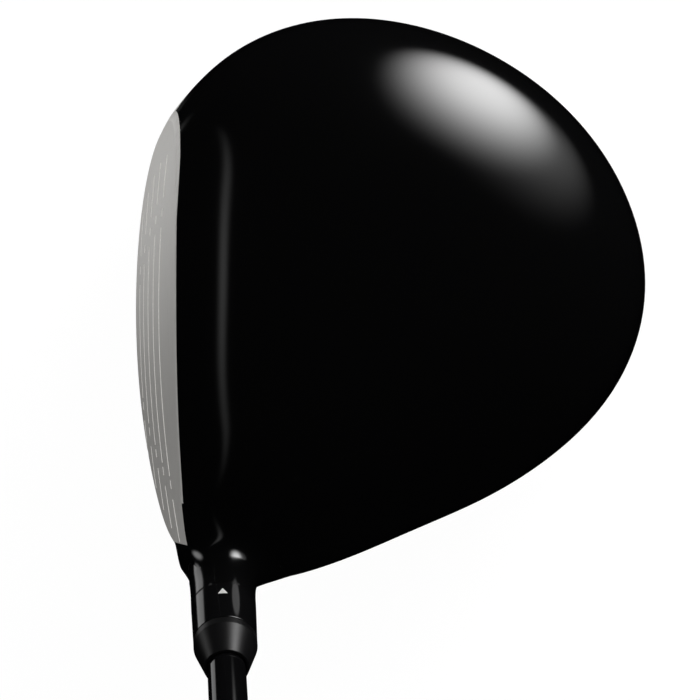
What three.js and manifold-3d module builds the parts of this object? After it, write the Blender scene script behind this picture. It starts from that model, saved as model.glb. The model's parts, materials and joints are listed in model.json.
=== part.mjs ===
// Golf driver: right-handed, adjustable hosel, full-length club soled at address.
// Millimetres and degrees. +Z up, the face looks along -X, the toe points to +Y and the heel to -Y.
// The origin is the middle of the flat pad the head rests on, under the centre of the head.
import * as THREE from 'three';
import { mergeVertices } from 'three/addons/utils/BufferGeometryUtils.js';
import Module from 'manifold-3d';

const wasm = await Module();
wasm.setup();

// ---------------------------------------------------------------- driving dimensions
// Head. PLAN_RADII are the control radii of a periodic cubic B-spline, one every 20 degrees,
// counted anticlockwise (seen from above) from the back of the head.
const PLAN_RADII = [65.9, 66.0, 65.1, 64.4, 65.1, 66.5, 65.7, 61.0, 61.7, 64.0, 64.0, 66.0, 76.0, 61.6, 53.1,
  52.7, 55.6, 61.5];
const EDGE_HEIGHT = 31;          // height of the widest line of the head above its centre
const EDGE_SLOPE = -0.05;        // that line drops towards the back
const CROWN_HEIGHT = 61.5;
const CROWN_FULLNESS = [2.4, 2.5];   // superellipse powers of the crown: along the plan, in height
const SOLE_FULLNESS = [5, 2.6];
const SOLE_DROP = 0.35;          // the dome dips this far under the ground plane and is cut off flat
const CREST = { x: -33.2, y: -3, radius: 550, slope: 0.19, blend: 1.5 };   // soft ridge behind the face
const REAR_RISE = { start: 12, radius: 110, blend: 6 };     // the sole climbs towards the back
const HEEL_RISE = { start: 10, radius: 160, blend: 6 };     // and towards the heel

const LOFT = 11.5;
const FACE = { x: -49.9, y: -1, z: 30, bulge: 305, roll: 305 };
const FACE_THICKNESS = 3;
const FACE_RETURN = 5;           // depth of the rim that joins the face to the rest of the head

const CROWN_WALL = 1.0;
const BODY_WALL = 2.2;
const LEDGE_HEIGHT = 4;          // bonding ledge under the rim of the crown
const PARTING_DROP = 1.5;        // the crown seam runs this far below the widest line
const GAP = 0.3;                 // glue line or running clearance between neighbours
const SOLE_PANEL = { x: 4, y: 2, halfLength: 27, halfWidth: 33, ledge: 3 };

// Hosel and adapter. Distances t run up the hosel axis from where it meets the ground.
const LIE = 57.5;
const SHAFT_LEAN = 3;            // the axis leans this far to the back of the head, seen from above
const HOSEL_FOOT = [-34.85, -33.0];
const NECK = { top: 67, radius: 7.3, bore: 6.1, centre: 38, fillet: 14, zone: 13.5, core: 7.5 };
const HOSEL_TUBE = { outer: 5.85, bore: 5.25, top: 66.3, seatTop: 24, seatBottom: 20, seatBore: 2.8,
  bottom: -10 };                 // below the ground: the tube is trimmed to the sole
const SLEEVE = { radius: 5.05, bore: 4.4, bottom: 32, top: 80.8, flange: 6.5, flangeDepth: 0.9, thread: 2.6,
  threadTop: 40.6, floor: 41.4 };
const RING = { bottom: 67.2, top: 79.6, topRadius: 7.1, bore: 5.35, chamfer: 0.25 };
const FERRULE = { gap: 0.2, straight: 1.8, length: 9.2, tip: 5.0, bore: 4.45 };
const SCREW = { head: 4.0, headHeight: 4.6, shank: 2.4, headTop: 18.9, tip: 38, hex: 2.2, hexDepth: 3 };
const WASHER = { outer: 4.6, bore: 2.55, bottom: 19.1, top: 19.9 };

// Shaft and grip. The club is measured from the ground to the end of the grip along the axis.
const CLUB_LENGTH = 1155.7;      // 45.5 inches
const SHAFT = { tip: 4.25, butt: 7.6, parallelTip: 60, wall: 1.1, bottom: 43.5, buttGap: 2,
  stations: [400, 700, 1000] };
const PLUG = { radius: 3.0, bottom: 44.5, length: 12 };
const GRIP = { length: 268, mouth: 9.6, mouthLip: 1.2, butt: 13.3, clearance: 0.25, capRadius: 15.6,
  capDepth: 6, capFlare: 2, capEdge: 1.5 };
const TAPE = { thickness: 0.25, clearance: 0.1, startsInside: 10, endsShort: 4 };

// Rear weight, set into the sole.
const WEIGHT = { x: 48, y: 0, radius: 8.6, thickness: 5.5, sink: 0.6, boss: 11.4, floor: 3, edge: 0.5,
  counterbore: 4.6, counterboreDepth: 2.6 };
const WEIGHT_SCREW = { head: 4.2, headHeight: 2.2, shank: 2.4, length: 10.4, hex: 2.0, hexDepth: 1.4,
  headClearance: 0.1 };

const ROUND = 28;                // sides of the visible turned parts
const SMALL_ROUND = 20;          // sides of the small and hidden ones
const HEAD_COLUMNS = 44;
const CROWN_ROWS = 8;
const SOLE_ROWS = 6;
const NECK_ROWS = 14;
const PANEL_SIDES = 24;
const REACH = 120;               // half size of the blocks that cut the head apart
const PAST_NECK = 5;             // the bars along the hosel axis end this far above the neck
const INSIDE_HEAD = 20;          // and start at this height, inside the head,
const UNDER_HEAD = -20;          // or at this one, below the sole
const PAST_SOLE = 12;            // the tool of the weight port starts this far outside the sole

// ---------------------------------------------------------------- solids and meshes
const up = new THREE.Vector3(0, 1, 0);
const degrees = THREE.MathUtils.degToRad;

// A clean indexed geometry with positions only, shared vertices and no collapsed triangles.
function weld(geometry) {
  const plain = geometry.clone();
  plain.deleteAttribute('normal');
  plain.deleteAttribute('uv');
  const merged = mergeVertices(plain, 1e-4);
  const source = merged.index.array;
  const kept = [];
  for (let i = 0; i < source.length; i += 3) {
    const [a, b, c] = [source[i], source[i + 1], source[i + 2]];
    if (a !== b && b !== c && c !== a) kept.push(a, b, c);
  }
  merged.setIndex(kept);
  return merged;
}

function signedVolume(geometry) {
  const position = geometry.attributes.position;
  const index = geometry.index.array;
  const [a, b, c] = [new THREE.Vector3(), new THREE.Vector3(), new THREE.Vector3()];
  let sum = 0;
  for (let i = 0; i < index.length; i += 3) {
    a.fromBufferAttribute(position, index[i]);
    b.fromBufferAttribute(position, index[i + 1]);
    c.fromBufferAttribute(position, index[i + 2]);
    sum += a.dot(b.cross(c)) / 6;
  }
  return sum;
}

// Welds a geometry and turns its faces outward.
function outward(geometry) {
  const welded = weld(geometry);
  if (signedVolume(welded) < 0) welded.setIndex([...welded.index.array].reverse());
  return welded;
}

function solid(geometry) {
  const welded = outward(geometry);
  return new wasm.Manifold(new wasm.Mesh({
    numProp: 3,
    vertProperties: new Float32Array(welded.attributes.position.array),
    triVerts: new Uint32Array(welded.index.array),
  }));
}

function geometryOf(body) {
  const mesh = body.getMesh();
  const geometry = new THREE.BufferGeometry();
  geometry.setAttribute('position', new THREE.BufferAttribute(new Float32Array(mesh.vertProperties), 3));
  geometry.setIndex(new THREE.BufferAttribute(new Uint32Array(mesh.triVerts), 1));
  return geometry;
}

function named(name, geometry, color, roughness, metalness) {
  const material = new THREE.MeshStandardMaterial({ color, roughness, metalness, flatShading: true });
  const mesh = new THREE.Mesh(geometry, material);
  mesh.name = name;
  return mesh;
}

// A closed surface of rings between two poles; pointAt(row, angle) gives a THREE.Vector3.
function ringedSurface(rows, columns, pointAt) {
  const points = [pointAt(0, 0)];
  for (let row = 1; row < rows; row++) {
    for (let column = 0; column < columns; column++) {
      points.push(pointAt(row, (column / columns) * 2 * Math.PI));
    }
  }
  points.push(pointAt(rows, 0));
  const last = points.length - 1;
  const at = (row, column) => 1 + (row - 1) * columns + (column % columns);
  const faces = [];
  for (let column = 0; column < columns; column++) {
    faces.push(0, at(1, column), at(1, column + 1));
    faces.push(last, at(rows - 1, column + 1), at(rows - 1, column));
    for (let row = 1; row < rows - 1; row++) {
      faces.push(at(row, column), at(row + 1, column), at(row + 1, column + 1));
      faces.push(at(row, column), at(row + 1, column + 1), at(row, column + 1));
    }
  }
  const geometry = new THREE.BufferGeometry().setFromPoints(points);
  geometry.setIndex(faces);
  return geometry;
}

function lathe(profile, segments = ROUND) {
  return outward(new THREE.LatheGeometry(profile.map(([r, t]) => new THREE.Vector2(r, t)), segments));
}

// A tube as a lathe profile that closes on itself.
function tube(outer, inner, bottom, top, segments = ROUND) {
  return lathe([[inner, bottom], [outer, bottom], [outer, top], [inner, top], [inner, bottom]], segments);
}

function rod(radius, bottom, top, segments = ROUND) {
  return lathe([[0, bottom], [radius, bottom], [radius, top], [0, top]], segments);
}

// ---------------------------------------------------------------- shape of the head
// Smooth ramp: 0 well below 0, x well above it.
function ramp(x, blend) {
  return blend * Math.log1p(Math.exp(Math.min(x / blend, 40)));
}

function planRadius(angle) {
  const count = PLAN_RADII.length;
  const turn = ((angle / (2 * Math.PI)) % 1 + 1) % 1;
  const cell = Math.floor(turn * count);
  const f = turn * count - cell;
  const weights = [(1 - f) ** 3, 3 * f ** 3 - 6 * f ** 2 + 4, -3 * f ** 3 + 3 * f ** 2 + 3 * f + 1, f ** 3];
  return weights.reduce((sum, w, k) => sum + (w / 6) * PLAN_RADII[(cell - 1 + k + count) % count], 0);
}

function edgeHeight(x) {
  return EDGE_HEIGHT + EDGE_SLOPE * x;
}

function crownRise(x, y) {
  const crestX = CREST.x + (y - CREST.y) ** 2 / (2 * CREST.radius);
  return CROWN_HEIGHT - edgeHeight(x) - CREST.slope * ramp(crestX - x, CREST.blend);
}

function soleDepth(x, y) {
  const rear = ramp(x - REAR_RISE.start, REAR_RISE.blend) ** 2 / (2 * REAR_RISE.radius);
  const heel = ramp(-y - HEEL_RISE.start, HEEL_RISE.blend) ** 2 / (2 * HEEL_RISE.radius);
  return edgeHeight(x) + SOLE_DROP - rear - heel;
}

// A point of the dome; quarter runs from 0 at the top, over 1 at the widest line, to 2 at the bottom.
function domePoint(quarter, angle) {
  const top = quarter <= 1;
  const [planPower, heightPower] = top ? CROWN_FULLNESS : SOLE_FULLNESS;
  const swing = (top ? quarter : 2 - quarter) * Math.PI / 2;
  const radius = planRadius(angle) * Math.sin(swing) ** (2 / planPower);
  const height = Math.max(Math.cos(swing), 0) ** (2 / heightPower);
  const x = radius * Math.cos(angle);
  const y = radius * Math.sin(angle);
  const z = edgeHeight(x) + (top ? crownRise(x, y) : -soleDepth(x, y)) * height;
  return new THREE.Vector3(x, y, z);
}

function domeNormal(quarter, angle) {
  const step = 1e-3;
  const nearPole = 0.02;
  const q = THREE.MathUtils.clamp(quarter, nearPole, 2 - nearPole);
  const along = domePoint(q + step, angle).sub(domePoint(q - step, angle));
  const around = domePoint(q, angle + step).sub(domePoint(q, angle - step));
  return along.cross(around).normalize();
}

// The dome, shrunk inwards by the given distance.
function dome(inset) {
  const rows = CROWN_ROWS + SOLE_ROWS;
  const pointAt = (row, angle) => {
    const quarter = row <= CROWN_ROWS ? row / CROWN_ROWS : 1 + (row - CROWN_ROWS) / SOLE_ROWS;
    const point = domePoint(quarter, angle);
    if (inset === 0) return point;
    if (row === 0) return point.setZ(point.z - inset);
    if (row === rows) return point.setZ(point.z + inset);
    return point.addScaledVector(domeNormal(quarter, angle), -inset);
  };
  const shape = solid(ringedSurface(rows, HEAD_COLUMNS, pointAt));
  return shape.subtract(blockBelow(inset));
}

// Everything under a level plane.
function blockBelow(z) {
  return solid(new THREE.BoxGeometry(2 * REACH, 2 * REACH, REACH).translate(0, 0, z - REACH / 2));
}

// Everything above the seam plane of the crown, raised by the given distance.
function blockAboveSeam(raise) {
  const box = new THREE.BoxGeometry(3 * REACH, 3 * REACH, REACH).translate(0, 0, REACH / 2);
  box.rotateY(Math.atan(-EDGE_SLOPE));
  return solid(box.translate(0, 0, EDGE_HEIGHT - PARTING_DROP + raise));
}

function faceX(y, z) {
  const height = z - FACE.z;
  const lean = Math.tan(degrees(LOFT)) * height;
  return FACE.x + lean + height ** 2 / (2 * FACE.roll) + (y - FACE.y) ** 2 / (2 * FACE.bulge);
}

// Everything ahead of the face surface, moved back by the given depth.
function blockAheadOfFace(depth) {
  const columns = 12;
  const rows = 8;
  const [width, middle] = [1.5 * REACH, 0.3 * REACH];
  const box = new THREE.BoxGeometry(1, width, REACH, 1, columns, rows).translate(0, 0, middle);
  const position = box.attributes.position;
  for (let i = 0; i < position.count; i++) {
    const back = position.getX(i) > 0;
    position.setX(i, back ? faceX(position.getY(i), position.getZ(i)) + depth : -REACH);
  }
  return solid(box);
}

// ---------------------------------------------------------------- hosel axis
const flat = Math.cos(degrees(LIE));
const axis = new THREE.Vector3(
  flat * Math.sin(degrees(SHAFT_LEAN)),
  -flat * Math.cos(degrees(SHAFT_LEAN)),
  Math.sin(degrees(LIE)),
);
const hoselFoot = new THREE.Vector3(HOSEL_FOOT[0], HOSEL_FOOT[1], 0);
const hoselFrame = new THREE.Matrix4().compose(
  hoselFoot,
  new THREE.Quaternion().setFromUnitVectors(up, axis),
  new THREE.Vector3(1, 1, 1),
);

function onHosel(geometry) {
  return solid(geometry.clone().applyMatrix4(hoselFrame));
}

function isOutsideDome(point) {
  const { x, y, z } = point;
  const across = Math.hypot(x, y) / planRadius(Math.atan2(y, x));
  const rise = z - edgeHeight(x);
  const [planPower, heightPower] = rise > 0 ? CROWN_FULLNESS : SOLE_FULLNESS;
  const height = Math.max(rise > 0 ? crownRise(x, y) : soleDepth(x, y), 1);
  return z < 0 || across ** planPower + (Math.abs(rise) / height) ** heightPower > 1;
}

// How far it is from a point inside the dome to its surface, along a unit direction.
function domeDistance(from, direction) {
  let [near, far] = [0, 2 * REACH];
  const halvings = 24;
  for (let i = 0; i < halvings; i++) {
    const middle = (near + far) / 2;
    if (isOutsideDome(from.clone().addScaledVector(direction, middle))) far = middle;
    else near = middle;
  }
  return near;
}

// The neck, with the fillet that blends it into the dome. It is a surface round a point of the axis, at the
// greater of two distances, to the neck and to the dome, with the step between them smoothed.
function neck() {
  const sink = 0.6;              // beyond the fillet the surface runs this far inside the dome
  const smallest = 0.01;
  const rows = NECK_ROWS;
  const lastSwing = degrees(100);
  const fadeStart = degrees(55);
  const height = NECK.top - NECK.centre;
  const rimSwing = Math.atan(NECK.radius / height);
  const centre = hoselFoot.clone().addScaledVector(axis, NECK.centre);
  const turnToAxis = new THREE.Quaternion().setFromUnitVectors(up, axis);
  const pointAt = (row, angle) => {
    if (row === 0) return centre.clone().addScaledVector(axis, height);
    if (row === rows) return centre.clone().addScaledVector(axis, -1);
    const swing = THREE.MathUtils.mapLinear(row, 1, rows - 1, rimSwing, lastSwing);
    const direction = new THREE.Vector3().setFromSphericalCoords(1, swing, angle).applyQuaternion(turnToAxis);
    const kept = 1 - THREE.MathUtils.smoothstep(swing, fadeStart, lastSwing);
    const toNeck = (NECK.radius / Math.sin(swing)) * kept;
    const toDome = domeDistance(centre, direction);
    const fillet = Math.max(NECK.fillet * kept, smallest);
    const overlap = Math.max(fillet - Math.abs(toDome - toNeck), 0) / fillet;
    const below = toDome > toNeck ? sink * (1 - Math.min(2 * overlap, 1)) : 0;
    const reach = row === 1 ? toNeck : Math.max(toDome, toNeck) + (overlap ** 2 * fillet) / 4 - below;
    return centre.clone().addScaledVector(direction, reach);
  };
  return solid(ringedSurface(rows, ROUND, pointAt));
}

// ---------------------------------------------------------------- rear weight axis
// The weight's frame: +Y points out of the sole, and its origin is on the surface of the sole.
function weightFrame() {
  const step = 0.5;
  const soleHeight = (x, y) => {
    const radius = Math.hypot(x, y) / planRadius(Math.atan2(y, x));
    const height = (1 - radius ** SOLE_FULLNESS[0]) ** (1 / SOLE_FULLNESS[1]);
    return edgeHeight(x) - soleDepth(x, y) * height;
  };
  const slopeX = (soleHeight(WEIGHT.x + step, WEIGHT.y) - soleHeight(WEIGHT.x - step, WEIGHT.y)) / (2 * step);
  const out = new THREE.Vector3(slopeX, 0, -1).normalize();
  return new THREE.Matrix4().compose(
    new THREE.Vector3(WEIGHT.x, WEIGHT.y, soleHeight(WEIGHT.x, WEIGHT.y)),
    new THREE.Quaternion().setFromUnitVectors(up, out),
    new THREE.Vector3(1, 1, 1),
  );
}

const weightPlace = weightFrame();

function onWeight(geometry) {
  return solid(geometry.clone().applyMatrix4(weightPlace));
}

// ---------------------------------------------------------------- head pieces
const outerDome = dome(0);
const innerFace = dome(BODY_WALL + GAP);
const outerHead = outerDome.add(neck());

function panelPrism(grow) {
  const shape = new THREE.Shape();
  shape.absellipse(0, 0, SOLE_PANEL.halfLength + grow, SOLE_PANEL.halfWidth + grow, 0, 2 * Math.PI);
  const prism = new THREE.ExtrudeGeometry(shape, {
    depth: EDGE_HEIGHT / 2,
    bevelEnabled: false,
    curveSegments: PANEL_SIDES,
  });
  return solid(prism.translate(SOLE_PANEL.x, SOLE_PANEL.y, -EDGE_HEIGHT / 4));
}

// A round bar along the hosel axis that ends above the neck.
function neckBar(radius, bottom) {
  return onHosel(rod(radius, bottom, NECK.top + PAST_NECK));
}

// The stretch of the neck that belongs to the body even where it comes level with the face.
function neckCore(grow) {
  return neckBar(NECK.core + grow, INSIDE_HEAD);
}

function faceCup() {
  const slab = outerHead.intersect(blockAheadOfFace(FACE_RETURN)).subtract(blockAheadOfFace(0));
  const hollow = innerFace.subtract(blockAheadOfFace(FACE_THICKNESS));
  return slab.subtract(hollow).subtract(neckCore(GAP));
}

function crownShell() {
  return outerHead
    .subtract(dome(CROWN_WALL))
    .intersect(blockAboveSeam(GAP / 2))
    .subtract(neckBar(NECK.zone + GAP, INSIDE_HEAD))
    .subtract(blockAheadOfFace(FACE_RETURN + GAP));
}

const portFloor = -(WEIGHT.sink + WEIGHT.thickness + GAP);
const bossTop = portFloor - WEIGHT.floor;

function weightBoss() {
  return onWeight(rod(WEIGHT.boss, bossTop, PAST_SOLE));
}

function weightPort() {
  const well = onWeight(rod(WEIGHT.radius + GAP, portFloor, PAST_SOLE));
  const threaded = rod(WEIGHT_SCREW.shank + GAP / 2, bossTop - WEIGHT.floor, 0, SMALL_ROUND);
  return well.add(onWeight(threaded));
}

function bodyShell() {
  const crownSpace = blockAboveSeam(-GAP / 2).subtract(dome(CROWN_WALL + GAP));
  const openTop = crownSpace.add(blockAboveSeam(LEDGE_HEIGHT)).subtract(neckBar(NECK.zone, INSIDE_HEAD));
  const panelSpace = panelPrism(GAP).subtract(dome(CROWN_WALL + GAP));
  const shell = outerHead.subtract(dome(BODY_WALL)).add(outerDome.intersect(weightBoss()));
  return shell
    .subtract(openTop)
    .subtract(panelSpace.add(panelPrism(-SOLE_PANEL.ledge)))
    .subtract(weightPort())
    .subtract(neckBar(NECK.bore, UNDER_HEAD))
    .subtract(blockAheadOfFace(FACE_RETURN + GAP).subtract(neckCore(0)));
}

function solePanel() {
  return outerDome.subtract(dome(CROWN_WALL)).intersect(panelPrism(0));
}

// Tube from the port in the sole to the mouth of the neck, with the seat the screw pulls against.
function hoselTube() {
  const { outer, bore, bottom, top, seatTop, seatBottom, seatBore } = HOSEL_TUBE;
  const profile = [[bore, bottom], [outer, bottom], [outer, top], [bore, top], [bore, seatTop],
    [seatBore, seatTop], [seatBore, seatBottom], [bore, seatBottom], [bore, bottom]];
  return onHosel(lathe(profile)).intersect(outerHead);
}

// ---------------------------------------------------------------- adapter pieces, along the hosel axis
function adapterSleeve() {
  const { radius, bore, bottom, top, flange, flangeDepth, thread, threadTop, floor } = SLEEVE;
  return lathe([[thread, bottom], [radius, bottom], [radius, top - flangeDepth], [flange, top - flangeDepth],
    [flange, top], [bore, top], [bore, floor], [0, floor], [0, threadTop], [thread, threadTop],
    [thread, bottom]]);
}

function adapterRing() {
  const { bottom, top, topRadius, bore, chamfer } = RING;
  return lathe([[bore, bottom], [NECK.radius - chamfer, bottom], [NECK.radius, bottom + chamfer],
    [topRadius, top - chamfer], [topRadius - chamfer, top], [bore, top], [bore, bottom]]);
}

function ferrule() {
  const { gap, straight, length, tip, bore } = FERRULE;
  const start = RING.top + gap;
  const recess = SLEEVE.top + GAP;
  return lathe([[SLEEVE.flange + GAP, start], [RING.topRadius, start], [RING.topRadius, start + straight],
    [tip, start + length], [bore, start + length], [bore, recess], [SLEEVE.flange + GAP, recess],
    [SLEEVE.flange + GAP, start]]);
}

function adapterScrew() {
  const { head, headTop, headHeight, shank, tip, hex, hexDepth } = SCREW;
  return socketScrew(head, headTop - headHeight, headTop, shank, tip, hex, hexDepth);
}

function screwWasher() {
  return tube(WASHER.outer, WASHER.bore, WASHER.bottom, WASHER.top, SMALL_ROUND);
}

// A screw standing head down on the +Y axis, with a hexagonal socket in its head.
function socketScrew(head, headBottom, headTop, shank, tip, hex, hexDepth) {
  const chamfer = 0.5;
  const turned = lathe([[0, headBottom], [head - chamfer, headBottom], [head, headBottom + chamfer],
    [head, headTop], [shank, headTop], [shank, tip - chamfer], [shank - chamfer, tip],
    [0, tip]], SMALL_ROUND);
  const socket = new THREE.CylinderGeometry(hex, hex, 2 * hexDepth, 6).translate(0, headBottom, 0);
  return geometryOf(solid(turned).subtract(solid(socket)));
}

// ---------------------------------------------------------------- shaft and grip
const gripTop = CLUB_LENGTH - GRIP.capDepth;
const gripBottom = CLUB_LENGTH - GRIP.length;
const shaftTop = gripTop - SHAFT.buttGap;
const taperStart = SHAFT.bottom + SHAFT.parallelTip;

function shaftRadius(t) {
  const part = THREE.MathUtils.clamp((t - taperStart) / (shaftTop - taperStart), 0, 1);
  return THREE.MathUtils.lerp(SHAFT.tip, SHAFT.butt, part);
}

function shaftTube() {
  const stations = [SHAFT.bottom, taperStart, ...SHAFT.stations, shaftTop];
  const outside = stations.map((t) => [shaftRadius(t), t]);
  const inside = stations.map((t) => [shaftRadius(t) - SHAFT.wall, t]).reverse();
  return lathe([...outside, ...inside, outside[0]]);
}

function tipPlug() {
  return rod(PLUG.radius, PLUG.bottom, PLUG.bottom + PLUG.length, SMALL_ROUND);
}

function gripTape() {
  const bottom = gripBottom + TAPE.startsInside;
  const top = gripTop - TAPE.endsShort;
  const inner = (t) => shaftRadius(t) + TAPE.clearance;
  const outer = (t) => inner(t) + TAPE.thickness;
  return lathe([[inner(bottom), bottom], [outer(bottom), bottom], [outer(top), top], [inner(top), top],
    [inner(bottom), bottom]]);
}

function gripSleeve() {
  const inner = (t) => shaftRadius(t) + TAPE.thickness + GRIP.clearance;
  return lathe([[inner(gripBottom), gripBottom], [GRIP.mouth - GRIP.mouthLip, gripBottom],
    [GRIP.mouth, gripBottom + GRIP.mouthLip], [GRIP.butt, gripTop], [inner(gripTop), gripTop],
    [inner(gripBottom), gripBottom]]);
}

function gripCap() {
  const bottom = gripTop + GAP;
  const { butt, capRadius, capFlare, capEdge } = GRIP;
  return lathe([[0, bottom], [butt, bottom], [capRadius, bottom + capFlare],
    [capRadius, CLUB_LENGTH - capEdge], [capRadius - capEdge, CLUB_LENGTH], [0, CLUB_LENGTH]]);
}

// ---------------------------------------------------------------- rear weight, along its own axis
function rearWeight() {
  const top = -WEIGHT.sink;
  const bottom = top - WEIGHT.thickness;
  const bore = WEIGHT_SCREW.shank + GAP / 2;
  const { radius, edge, counterbore, counterboreDepth } = WEIGHT;
  return lathe([[bore, bottom], [radius, bottom], [radius, top - edge], [radius - edge, top],
    [counterbore, top], [counterbore, top - counterboreDepth], [bore, top - counterboreDepth],
    [bore, bottom]]);
}

function rearWeightScrew() {
  const seat = -WEIGHT.sink - WEIGHT.counterboreDepth + WEIGHT_SCREW.headClearance;
  const { head, headHeight, shank, length, hex, hexDepth } = WEIGHT_SCREW;
  const standing = socketScrew(head, 0, headHeight, shank, length, hex, hexDepth);
  return standing.rotateX(Math.PI).translate(0, seat + headHeight, 0);
}

// ---------------------------------------------------------------- assembly
const BLACK = 0x060606;
const TITANIUM = 0x9a9894;
const STEEL = 0x8a8c8f;
const TUNGSTEN = 0x55575a;
const BRASS = 0xc9a24a;
const CARBON = 0x101112;
const ANODISED = 0x2a2b2d;
const PLASTIC = 0x121212;
const RUBBER = 0x141414;
const PAPER = 0xd8d4c8;

const head = new THREE.Group();
head.add(
  named('face_cup', geometryOf(faceCup()), TITANIUM, 0.4, 1),
  named('body_shell', geometryOf(bodyShell()), BLACK, 0.12, 0),
  named('crown_shell', geometryOf(crownShell()), BLACK, 0.08, 0),
  named('sole_panel', geometryOf(solePanel()), CARBON, 0.25, 0),
  named('hosel_tube', geometryOf(hoselTube()), TITANIUM, 0.45, 1),
);

const hosel = new THREE.Group();
hosel.applyMatrix4(hoselFrame);
hosel.add(
  named('adapter_ring', adapterRing(), BLACK, 0.15, 0.4),
  named('adapter_sleeve', adapterSleeve(), ANODISED, 0.35, 1),
  named('ferrule', ferrule(), PLASTIC, 0.4, 0),
  named('adapter_screw', adapterScrew(), STEEL, 0.3, 1),
  named('screw_washer', screwWasher(), STEEL, 0.3, 1),
  named('shaft', shaftTube(), BLACK, 0.12, 0),
  named('shaft_tip_plug', tipPlug(), BRASS, 0.4, 1),
  named('grip_tape', gripTape(), PAPER, 0.8, 0),
  named('grip', gripSleeve(), RUBBER, 0.85, 0),
  named('grip_cap', gripCap(), RUBBER, 0.8, 0),
);

const weight = new THREE.Group();
weight.applyMatrix4(weightPlace);
weight.add(
  named('rear_weight', rearWeight(), TUNGSTEN, 0.35, 1),
  named('rear_weight_screw', rearWeightScrew(), STEEL, 0.3, 1),
);

const driver = new THREE.Group();
driver.add(head, hosel, weight);
export default driver;
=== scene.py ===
import json
import math

import bpy
import numpy as np
from mathutils import Matrix, Vector

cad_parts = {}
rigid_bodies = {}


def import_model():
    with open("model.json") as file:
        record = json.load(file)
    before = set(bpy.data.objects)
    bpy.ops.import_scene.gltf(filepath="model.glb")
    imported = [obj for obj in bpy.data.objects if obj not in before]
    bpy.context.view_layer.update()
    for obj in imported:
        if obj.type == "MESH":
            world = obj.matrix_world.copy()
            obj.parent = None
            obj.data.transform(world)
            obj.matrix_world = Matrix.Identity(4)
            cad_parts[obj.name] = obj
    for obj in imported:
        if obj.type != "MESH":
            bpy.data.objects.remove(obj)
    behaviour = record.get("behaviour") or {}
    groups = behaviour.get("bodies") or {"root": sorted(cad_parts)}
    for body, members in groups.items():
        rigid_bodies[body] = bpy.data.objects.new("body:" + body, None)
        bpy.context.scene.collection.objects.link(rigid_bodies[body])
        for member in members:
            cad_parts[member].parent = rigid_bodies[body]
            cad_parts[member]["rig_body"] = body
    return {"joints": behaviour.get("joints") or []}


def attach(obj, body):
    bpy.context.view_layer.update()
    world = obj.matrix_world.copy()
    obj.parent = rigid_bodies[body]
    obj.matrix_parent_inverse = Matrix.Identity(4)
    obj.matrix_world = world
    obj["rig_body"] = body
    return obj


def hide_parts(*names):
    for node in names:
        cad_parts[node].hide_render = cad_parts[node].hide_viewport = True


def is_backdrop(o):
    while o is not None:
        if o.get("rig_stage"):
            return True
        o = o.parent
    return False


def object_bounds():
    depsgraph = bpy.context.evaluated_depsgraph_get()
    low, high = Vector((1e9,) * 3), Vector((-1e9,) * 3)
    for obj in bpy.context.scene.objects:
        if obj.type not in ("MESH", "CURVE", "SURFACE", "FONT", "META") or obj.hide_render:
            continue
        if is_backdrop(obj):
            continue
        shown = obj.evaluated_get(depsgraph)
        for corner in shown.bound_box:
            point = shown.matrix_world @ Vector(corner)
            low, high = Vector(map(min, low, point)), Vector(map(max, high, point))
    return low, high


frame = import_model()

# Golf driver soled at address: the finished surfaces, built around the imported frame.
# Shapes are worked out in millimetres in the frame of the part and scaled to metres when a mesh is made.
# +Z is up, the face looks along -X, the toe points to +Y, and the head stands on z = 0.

CAD_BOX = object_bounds()

# ---------------- driving dimensions of the head
PLAN_RADII = np.array([65.9, 66.0, 65.1, 64.4, 65.1, 66.5, 65.7, 61.0, 61.7, 64.0, 64.0, 66.0, 76.0, 61.6,
                       53.1, 52.7, 55.6, 61.5])   # control radii of a cubic B-spline, from the back round
EDGE_HEIGHT = 31.0           # the widest line of the head
EDGE_SLOPE = -0.05
CROWN_HEIGHT = 61.5
CROWN_FULLNESS = (2.4, 2.5)
SOLE_FULLNESS = (5.0, 2.6)
SOLE_DROP = 0.35
CREST_X, CREST_Y, CREST_RADIUS, CREST_SLOPE, CREST_BLEND = -33.2, -3.0, 550.0, 0.19, 1.5
REAR_START, REAR_RADIUS, REAR_BLEND = 12.0, 110.0, 6.0
HEEL_START, HEEL_RADIUS, HEEL_BLEND = 10.0, 160.0, 6.0
LOFT = math.radians(11.5)
FACE_X, FACE_Y, FACE_Z, FACE_BULGE, FACE_ROLL = -49.9, -1.0, 30.0, 305.0, 305.0
FACE_THICKNESS = 3.0
FACE_RETURN = 5.0            # depth of the rim of the face cup
FACE_CHAMFER = 0.28          # bright bevel round the face
TOE_CHAMFER, TOE_START, TOE_HEIGHT, TOE_LENGTH = 2.0, 18.0, 22.0, 14.0    # it grows wider at the upper toe
CROWN_WALL = 1.0
BODY_WALL = 2.2
LEDGE_HEIGHT = 4.0
PARTING_DROP = 1.5
SEAM = 0.02                  # hairline left between two pieces that are glued and painted over
PANEL_SEAM = 0.08            # the open hairline round the sole panel
PANEL_X, PANEL_Y, PANEL_LENGTH, PANEL_WIDTH, PANEL_LEDGE = 4.0, 2.0, 27.0, 33.0, 3.0
REACH = 130.0                # half size of the blocks that cut the head apart

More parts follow.
